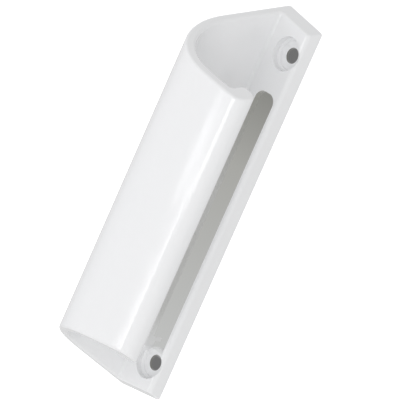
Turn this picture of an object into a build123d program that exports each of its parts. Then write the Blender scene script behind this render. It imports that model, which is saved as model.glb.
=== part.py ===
"""Balcony door pull handle: one glossy white moulding, screwed to the door through its narrow base.

Frame: millimetres, +Z up along the length, +Y into the door, +X towards the fingers.
The back face lies on y = 0 and the line of the two screw holes is x = 0, half way between them z = 0.
"""

import os
from math import radians, sqrt, tan

from build123d import *

# Base that lies on the door
base_thickness = 5.5
base_edge = 5.2  # hole line to the base's free long edge
wall_face = 11.3  # hole line to the outer face of the upright wall
wall_thickness = 3.0  # wall, nose and front are one even skin

# Hooked grip
grip_height = 46.0  # door face to the highest line of the front
nose_radius = 23.0  # outside radius of the turn from wall to front
crown_radius = 100.0  # gentle outward curve of the front
lip_reach = 29.0  # hole line to the outside of the lip
lip_width = 6.6
lip_depth = 7.8  # from the highest line of the front back to the lip's end

# Ends, cut back towards the front and towards the fingers
body_length = 120.0  # along the outer edge of the wall at the door
end_lean = 19.8  # degrees lost towards the front
end_skew = 8.7  # degrees lost towards the fingers

# Screw holes
hole_inset = 12.0  # end of the wall at the door to the middle of each hole
hole_diameter = 4.5
counterbore_diameter = 10.0
counterbore_depth = 2.7

# Slot through the base between the holes; its lower end stops at the lower screw seat
slot_width = 7.6
slot_rail = 2.0  # base left standing between the slot and the free long edge
slot_bridge = 7.2  # base left standing between the slot and the upper counterbore
slot_corner = 2.8
slot_lap = 0.5  # how far the slot runs in over the lower counterbore's edge

# Cores from the door side, so that the base keeps an even skin
base_skin = 2.0
seat_skin = 0.8  # left under the screw seats on the wall's side of the holes
core_rim = 2.6  # left standing below the wall, above the slot and round the lower seat
core_corner = 1.6

# Roundings
lip_front_round = 3.0
lip_outer_round = 2.8
lip_inner_round = 1.8
inside_round = 0.8
edge_round = 1.2
door_round = 1.1
end_round = 0.8
seat_round = 0.8
slot_edge_round = 0.4

# Section in the XY plane, front of the handle towards -Y
wall_inside = wall_face - wall_thickness
turn_x = nose_radius - wall_face
turn_y = nose_radius - grip_height
lip_inside = lip_reach - lip_width
inner_crown = crown_radius - wall_thickness
crown_drop = crown_radius - sqrt(crown_radius**2 - (lip_reach - turn_x) ** 2)
inner_drop = inner_crown - sqrt(inner_crown**2 - (lip_inside - turn_x) ** 2)

door_corner = (-wall_face, 0)
wall_top = (-wall_face, turn_y)
front_start = (turn_x, -grip_height)
lip_front = (lip_reach, crown_drop - grip_height)
lip_outer = (lip_reach, lip_depth - grip_height)
lip_inner = (lip_inside, lip_depth - grip_height)
lip_root = (lip_inside, wall_thickness + inner_drop - grip_height)
inner_start = (turn_x, wall_thickness - grip_height)
inner_wall_top = (-wall_inside, turn_y)
base_corner = (-wall_inside, -base_thickness)
base_front = (base_edge, -base_thickness)
base_back = (base_edge, 0)

with BuildPart() as handle_body:
    # Even hooked section, drawn as one closed outline of lines and tangent arcs
    with BuildSketch(Plane.XY) as section:
        with BuildLine():
            Line(door_corner, wall_top)
            TangentArc(wall_top, front_start, tangent=(0, -1))
            TangentArc(front_start, lip_front, tangent=(1, 0))
            Polyline(lip_front, lip_outer, lip_inner, lip_root)
            TangentArc(inner_start, lip_root, tangent=(1, 0))
            TangentArc(inner_wall_top, inner_start, tangent=(0, -1))
            Polyline(inner_wall_top, base_corner, base_front, base_back, door_corner)
        make_face()
        fillet(section.vertices().sort_by_distance(lip_front)[0], radius=lip_front_round)
        fillet(section.vertices().sort_by_distance(lip_outer)[0], radius=lip_outer_round)
        fillet(section.vertices().sort_by_distance(lip_inner)[0], radius=lip_inner_round)
        fillet(section.vertices().sort_by_distance(lip_root)[0], radius=inside_round)
        fillet(section.vertices().sort_by_distance(base_corner)[0], radius=inside_round)
        fillet(section.vertices().sort_by_distance(base_front)[0], radius=edge_round)
        fillet(section.vertices().sort_by_distance(base_back)[0], radius=door_round)
        fillet(section.vertices().sort_by_distance(door_corner)[0], radius=door_round)
    extrude(amount=body_length / 2, both=True)

    # Oblique ends: the wall keeps its full length at the door, the lip is the shortest line
    lean = tan(radians(end_lean))
    skew = tan(radians(end_skew))
    for side in (1, -1):
        end_plane = Plane(origin=(-wall_face, 0, side * body_length / 2), z_dir=(skew, -lean, side))
        split(bisect_by=end_plane, keep=Keep.BOTTOM)
    end_faces = handle_body.faces().sort_by(Axis.Z)
    fillet(end_faces[0].edges() + end_faces[-1].edges(), radius=end_round)

    # Long slot through the base, its lower end following the round seat of the lower screw
    hole_spacing = body_length - 2 * hole_inset
    seat_radius = counterbore_diameter / 2
    slot_top = hole_spacing / 2 - seat_radius - slot_bridge
    slot_edge = base_edge - slot_rail
    with BuildSketch(Plane.XZ) as slot:
        with Locations((slot_edge - slot_width / 2, (slot_top - hole_spacing / 2) / 2)):
            Rectangle(slot_width, slot_top + hole_spacing / 2)
        fillet(slot.vertices().group_by(Axis.Z)[-1], radius=slot_corner)
        with Locations((0, -hole_spacing / 2)):
            Circle(seat_radius - slot_lap, mode=Mode.SUBTRACT)
    extrude(amount=base_thickness, mode=Mode.SUBTRACT)
    base_faces = handle_body.faces().filter_by(Axis.Y).sort_by_distance((-wall_inside, -base_thickness, 0))
    slot_mouth = base_faces[0].inner_wires()[0].edges().sort_by(Axis.Z)
    fillet(slot_mouth[1:], radius=slot_edge_round)

    # Deep core behind the slot, from its free edge across to the foot of the wall
    core_edge = core_rim - wall_face
    core_top = slot_top + core_rim
    core_bottom = seat_radius - hole_spacing / 2
    with BuildSketch(Plane.XZ) as core:
        with Locations(((core_edge + slot_edge) / 2, (core_top + core_bottom) / 2)):
            Rectangle(slot_edge - core_edge, core_top - core_bottom)
        fillet(core.vertices(), radius=core_corner)
        with Locations((0, -hole_spacing / 2)):
            Circle(seat_radius + core_rim, mode=Mode.SUBTRACT)
    extrude(amount=base_thickness - base_skin, mode=Mode.SUBTRACT)

    # Shallow core beside each screw hole, which leaves the hole's free side standing on the door
    seat_floor = base_thickness - counterbore_depth
    with BuildSketch(Plane.XZ) as seat_core:
        with Locations((core_edge / 2, hole_spacing / 2), (core_edge / 2, -hole_spacing / 2)):
            RectangleRounded(-core_edge, counterbore_diameter, core_corner)
    extrude(amount=seat_floor - seat_skin, mode=Mode.SUBTRACT)

    # Screw seats: a round counterbore with a rolled floor, and a clear hole below it
    hole_radius = hole_diameter / 2
    for side in (1, -1):
        seat_plane = Plane(
            origin=(0, -base_thickness, side * hole_spacing / 2), x_dir=(1, 0, 0), z_dir=(0, 0, 1)
        )
        with BuildSketch(seat_plane) as seat:
            with BuildLine():
                Polyline((0, 0), (seat_radius, 0), (seat_radius, counterbore_depth - seat_round))
                RadiusArc(
                    (seat_radius, counterbore_depth - seat_round),
                    (seat_radius - seat_round, counterbore_depth),
                    seat_round,
                )
                Polyline(
                    (seat_radius - seat_round, counterbore_depth),
                    (hole_radius, counterbore_depth),
                    (hole_radius, base_thickness),
                    (0, base_thickness),
                    (0, 0),
                )
            make_face()
        revolve(axis=Axis((0, 0, side * hole_spacing / 2), (0, 1, 0)), mode=Mode.SUBTRACT)

handle_body.part.label = "handle_body"

os.makedirs("parts", exist_ok=True)
export_step(handle_body.part, "parts/handle_body.step")

print("volume mm3", round(handle_body.part.volume))
print("box", handle_body.part.bounding_box())
print("solids", len(handle_body.part.solids()), "valid", handle_body.part.is_valid)
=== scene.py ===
import bpy
import numpy as np
from mathutils import Matrix, Vector

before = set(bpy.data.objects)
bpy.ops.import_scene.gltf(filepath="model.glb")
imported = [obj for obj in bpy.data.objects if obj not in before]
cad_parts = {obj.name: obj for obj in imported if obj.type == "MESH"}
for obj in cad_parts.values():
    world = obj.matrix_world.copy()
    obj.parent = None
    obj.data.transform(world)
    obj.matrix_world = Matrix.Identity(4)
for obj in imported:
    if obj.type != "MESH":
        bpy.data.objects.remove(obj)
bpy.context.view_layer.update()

# Handle body: the whole pull is one injection moulding in white ABS, with base, wall, rolled front
# and lip in one skin. The mould was polished, so the skin is glossy. Two screws through the seats in
# its base hold it to the door.


def linear(code):
    """sRGB hex to linear RGBA: c / 12.92 up to 0.04045, else ((c + 0.055) / 1.055) to the power 2.4."""
    c = np.array([int(code[i : i + 2], 16) for i in (0, 2, 4)]) / 255
    return (*np.where(c <= 0.04045, c / 12.92, ((c + 0.055) / 1.055) ** 2.4), 1.0)


def add(tree, kind, settings=None, links=None):
    """One node: settings map a socket or an attribute to its value, links map a socket to an output."""
    node = tree.nodes.new(kind)
    for name, value in (settings or {}).items():
        if isinstance(name, int) or name in node.inputs:
            node.inputs[name].default_value = value
        else:
            setattr(node, name, value)
    for name, output in (links or {}).items():
        tree.links.new(output, node.inputs[name])
    return node


# White ABS from a polished mould: a clean, faintly cool white with sharp reflections. Its tone drifts
# in long soft bands along the melt's flow, and shallow sinks bend the reflections. Inside the slot and
# the screw holes the colour is greyer: that grey is painted shade, deepening towards the top of the
# slot.
ABS_IOR = 1.53
FLOW_BAND = 0.014  # metres across one band of tone
FLOW_STRETCH = 0.25  # bands and sinks run four times as long as they are wide
GLOSS_PATCH = 0.006
NOISE_LOW = 0.3  # most of the patches' noise lies from here
NOISE_HIGH = 0.7  # to here
SMOOTHEST = 0.08
ROUGHEST = 0.13
SINK_WAVE = 0.022
SINK_DEPTH = 0.00006
PEEL_GRAIN = 0.0012  # the mould's polish is finer still and wouldn't show, so it is drawn coarser
PEEL_DEPTH = 0.0000012
SLOT_INSIDE = {  # from and to along each axis
    "X": (-0.00445, 0.00325),
    "Y": (-0.0053, 0.0001),
    "Z": (-0.0450, 0.0365),
}
# painted shade: the slot's inside is mixed towards grey by these shares, more towards the top
SLOT_PAINTED_SHADE = (  # from and to along Z, and the share of grey that is gained between them
    (-0.050, -0.034, 0.56),
    (0.004, 0.030, 0.42),
)
HOLE_LINE = 0.048  # half way between the holes to each of them
HOLE_RADIUS = 0.0023  # a little over the hole's own, so that its wall lies inside

white_abs = bpy.data.materials.new("white_abs_polished_mould")
white_abs.use_nodes = True
tree = white_abs.node_tree
skin = tree.nodes["Principled BSDF"]
skin.inputs["IOR"].default_value = ABS_IOR
place = add(tree, "ShaderNodeTexCoord").outputs["Object"]
stretch = add(tree, "ShaderNodeMapping", {"Scale": (1, 1, FLOW_STRETCH)}, {"Vector": place})
along = stretch.outputs["Vector"]
flow = add(tree, "ShaderNodeTexNoise", {"Scale": 1 / FLOW_BAND, "Detail": 2}, {"Vector": along})
bands = add(
    tree,
    "ShaderNodeMixRGB",
    {"Color1": linear("F5F6F7"), "Color2": linear("F8F8F9")},
    {"Fac": flow.outputs[0]},
)

# Share of painted shade in the slot: the two rises along Z added up, and nothing outside its three
# ranges
spot = add(tree, "ShaderNodeSeparateXYZ", links={"Vector": place}).outputs
rises = [
    add(
        tree,
        "ShaderNodeMapRange",
        {"From Min": low, "From Max": high, "To Max": share},
        {"Value": spot["Z"]},
    )
    for low, high, share in SLOT_PAINTED_SHADE
]
slot_shade_share = add(
    tree,
    "ShaderNodeMath",
    {"operation": "ADD"},
    {0: rises[0].outputs[0], 1: rises[1].outputs[0]},
)
for axis, (low, high) in SLOT_INSIDE.items():
    middle = (low + high) / 2
    half = (high - low) / 2
    inside = add(
        tree,
        "ShaderNodeMath",
        {"operation": "COMPARE", 1: middle, 2: half},
        {0: spot[axis]},
    )
    slot_shade_share = add(
        tree,
        "ShaderNodeMath",
        {"operation": "MULTIPLY"},
        {0: slot_shade_share.outputs[0], 1: inside.outputs[0]},
    )
# painted shade: the slot's inside walls are mixed towards this grey
slot_shaded_colour = add(
    tree,
    "ShaderNodeMixRGB",
    {"Color2": linear("AEAEA8")},
    {"Fac": slot_shade_share.outputs[0], "Color1": bands.outputs["Color"]},
)

# Painted shade in the screw holes: where the distance from the hole's axis in X and Z is less than the
# radius, at both ends
upright = add(tree, "ShaderNodeMath", {"operation": "ABSOLUTE"}, {0: spot["Z"]})
folded = add(tree, "ShaderNodeCombineXYZ", links={"X": spot["X"], "Z": upright.outputs[0]})
away = add(
    tree,
    "ShaderNodeVectorMath",
    {"operation": "DISTANCE", 1: (0, 0, HOLE_LINE)},
    {0: folded.outputs[0]},
)
in_hole = add(
    tree,
    "ShaderNodeMath",
    {"operation": "LESS_THAN", 1: HOLE_RADIUS},
    {0: away.outputs["Value"]},
)
# painted shade: the walls inside the screw holes are mixed towards this grey
hole_shaded_colour = add(
    tree,
    "ShaderNodeMixRGB",
    {"Color2": linear("8C8C88")},
    {"Fac": in_hole.outputs[0], "Color1": slot_shaded_colour.outputs["Color"]},
)
tree.links.new(hole_shaded_colour.outputs["Color"], skin.inputs["Base Color"])

# Gloss in patches, and two bumps: long shallow sinks, and the fine peel of the polish over them
patches = add(tree, "ShaderNodeTexNoise", {"Scale": 1 / GLOSS_PATCH, "Detail": 3}, {"Vector": place})
gloss = add(
    tree,
    "ShaderNodeMapRange",
    {"From Min": NOISE_LOW, "From Max": NOISE_HIGH, "To Min": SMOOTHEST, "To Max": ROUGHEST},
    {"Value": patches.outputs[0]},
)
tree.links.new(gloss.outputs["Result"], skin.inputs["Roughness"])
sinks = add(tree, "ShaderNodeTexNoise", {"Scale": 1 / SINK_WAVE, "Detail": 1}, {"Vector": along})
waves = add(tree, "ShaderNodeBump", {"Distance": SINK_DEPTH}, {"Height": sinks.outputs[0]})
grain = add(tree, "ShaderNodeTexNoise", {"Scale": 1 / PEEL_GRAIN, "Detail": 1}, {"Vector": place})
peel = add(
    tree,
    "ShaderNodeBump",
    {"Distance": PEEL_DEPTH},
    {"Height": grain.outputs[0], "Normal": waves.outputs["Normal"]},
)
tree.links.new(peel.outputs["Normal"], skin.inputs["Normal"])

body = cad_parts["handle_body"]
body.data.materials.clear()
body.data.materials.append(white_abs)

# Backing strip: a sheet of painted shade close behind the base, glowing in greys for the shade seen
# through the slot and the holes, paler downwards in the slot and dark behind the holes. It takes no
# part in the light, and is clear from behind, so that the back of the handle can be seen.


def panel(name, left, right, near, far, low, high, material):
    """Flat backdrop: four corners, from left, near and low to right, far and high, in metres."""
    mesh = bpy.data.meshes.new(name)
    corners = [(left, near, low), (right, near, low), (right, far, high), (left, far, high)]
    mesh.from_pydata(corners, [], [(0, 1, 2, 3)])
    mesh.materials.append(material)
    flat = bpy.data.objects.new(name, mesh)
    bpy.context.scene.collection.objects.link(flat)
    return flat


STRIP_GAP = 0.00003
STRIP_LEFT = -0.0105
STRIP_RIGHT = 0.0036
STRIP_HALF = 0.0545
# painted shade: the backdrop glows in these greys, set along its height
STRIP_SHADES = (  # height in metres, and the grey there
    (-0.0470, "707070"),  # lower hole
    (-0.0465, "C0C1C0"),  # foot of the slot
    (0.0120, "A8A8A4"),
    (0.0340, "8C8C88"),  # top of the slot
    (0.0430, "707070"),  # upper hole
)

# Painted shade card: a soft run of glowing greys that stand for shade, so that no lamp or shadow
# changes it
painted_shade_card = bpy.data.materials.new("glowing_painted_shade_card")
painted_shade_card.use_nodes = True
tree = painted_shade_card.node_tree
place = add(tree, "ShaderNodeTexCoord").outputs["Object"]
height = add(tree, "ShaderNodeSeparateXYZ", links={"Vector": place}).outputs["Z"]
share = add(
    tree,
    "ShaderNodeMapRange",
    {"From Min": -STRIP_HALF, "From Max": STRIP_HALF},
    {"Value": height},
)
ramp = add(tree, "ShaderNodeValToRGB", links={"Fac": share.outputs["Result"]})
stops = ramp.color_ramp.elements
while len(stops) < len(STRIP_SHADES):
    stops.new(1.0)
for stop, (level, grey) in zip(stops, STRIP_SHADES):
    stop.position = (level + STRIP_HALF) / (2 * STRIP_HALF)
    stop.color = linear(grey)
shade_glow = add(tree, "ShaderNodeEmission", links={"Color": ramp.outputs["Color"]})
clear = add(tree, "ShaderNodeBsdfTransparent")
behind = add(tree, "ShaderNodeNewGeometry").outputs["Backfacing"]
one_sided = add(
    tree,
    "ShaderNodeMixShader",
    links={"Fac": behind, 1: shade_glow.outputs["Emission"], 2: clear.outputs["BSDF"]},
)
tree.links.new(one_sided.outputs["Shader"], tree.nodes["Material Output"].inputs["Surface"])
strip = panel(
    "painted_shade_backdrop",
    STRIP_LEFT,
    STRIP_RIGHT,
    STRIP_GAP,
    STRIP_GAP,
    -STRIP_HALF,
    STRIP_HALF,
    painted_shade_card,
)
strip.visible_diffuse = False
strip.visible_glossy = False
strip.visible_shadow = False

# Floor: plain white studio paper, far enough below the handle that no shadow of it shows. The gloss of
# the handle doesn't mirror it, because that would turn the lower rim as white as the paper.
FLOOR_LEVEL = -0.5
FLOOR_HALF = 6
PAPER_ROUGHNESS = 0.9

# Matt white paper: an even near-white with no shine
white_paper = bpy.data.materials.new("matt_white_paper")
white_paper.use_nodes = True
sheet = white_paper.node_tree.nodes["Principled BSDF"]
sheet.inputs["Base Color"].default_value = linear("FAFAFA")
sheet.inputs["Roughness"].default_value = PAPER_ROUGHNESS
floor = panel(
    "floor",
    -FLOOR_HALF,
    FLOOR_HALF,
    -FLOOR_HALF,
    FLOOR_HALF,
    FLOOR_LEVEL,
    FLOOR_LEVEL,
    white_paper,
)
floor.visible_glossy = False

# Camera: a long lens, a metre away, a little above the handle and rolled so that the handle leans in
# the frame.
FOCAL_PIXELS = 3494.6
FRAME_PIXELS = 400
CAMERA_STAND = (0.6691, -0.7007, 0.1750)
CAMERA_RIGHT = Vector((0.60449, 0.68918, 0.39953))
CAMERA_DOWN = Vector((0.40448, 0.16654, -0.89926))
CAMERA_AHEAD = Vector((-0.68628, 0.7052, -0.17809))

lens = bpy.data.cameras.new("camera")
lens.lens = FOCAL_PIXELS / FRAME_PIXELS * lens.sensor_width
camera = bpy.data.objects.new("camera", lens)
turn = Matrix((CAMERA_RIGHT, -CAMERA_DOWN, -CAMERA_AHEAD)).transposed().to_4x4()
camera.matrix_world = Matrix.Translation(CAMERA_STAND) @ turn
bpy.context.scene.collection.objects.link(camera)
bpy.context.scene.camera = camera

# Studio light: an even white room, soft boxes beside the camera and on the left, one over the floor
# behind, and three that only the gloss shows, for the two highlights along the front.
ROOM = 0.66  # strength of the room's own light
MIDDLE = (0, -0.02, 0)  # each box faces this point or one of the next three
BEHIND = (-2.6, 2.85, -0.5)
LIP = (0.026, -0.043, 0)
CROWN = (0.0228, -0.0454, 0.02)

bpy.context.scene.view_settings.view_transform = "Standard"
room = bpy.data.worlds.new("studio")
bpy.context.scene.world = room
room.use_nodes = True
room.node_tree.nodes["Background"].inputs["Color"].default_value = linear("FFFFFF")
room.node_tree.nodes["Background"].inputs["Strength"].default_value = ROOM


def softbox(name, stand, aim, size, radiance, shade="FFFFFF", mirrored=False, shape="RECTANGLE"):
    """Area light facing its aim: its power is radiance times pi times its width times its height."""
    box = bpy.data.lights.new(name, "AREA")
    box.shape = shape
    box.size, box.size_y = size
    box.energy = radiance * np.pi * box.size * box.size_y
    box.color = linear(shade)[:3]
    lamp = bpy.data.objects.new(name, box)
    out = (Vector(stand) - Vector(aim)).normalized()
    across = Vector((0, 0, 1)).cross(out).normalized()
    turn = Matrix((across, out.cross(across), out)).transposed().to_4x4()
    lamp.matrix_world = Matrix.Translation(stand) @ turn
    lamp.visible_camera = False
    lamp.visible_glossy = mirrored
    lamp.visible_diffuse = not mirrored
    bpy.context.scene.collection.objects.link(lamp)


softbox("camera_box", (0.98, -1.12, 0.25), MIDDLE, (0.6, 0.6), 1.95)
softbox("low_box", (0.98, -1.12, -0.2), MIDDLE, (0.6, 0.4), 3.3)
softbox("left_box", (-1.39, -0.8, 0.1), MIDDLE, (1.5, 1.5), 0.97, shade="FBFBFF")
softbox("backdrop_box", (-2.55, 2.8, -0.1), BEHIND, (1.6, 6.4), 0.75)
softbox("lip_strip", (-0.314, -0.767, -0.1975), LIP, (0.119, 0.165), 5.5, mirrored=True)
softbox("lip_window", (-0.082, -0.836, -0.055), LIP, (0.543, 0.17), 3.6, mirrored=True)
softbox(
    "crown_box",
    (-0.2427, -0.469, -0.061),
    CROWN,
    (0.029, 0.055),
    2.3,
    mirrored=True,
    shape="ELLIPSE",
)
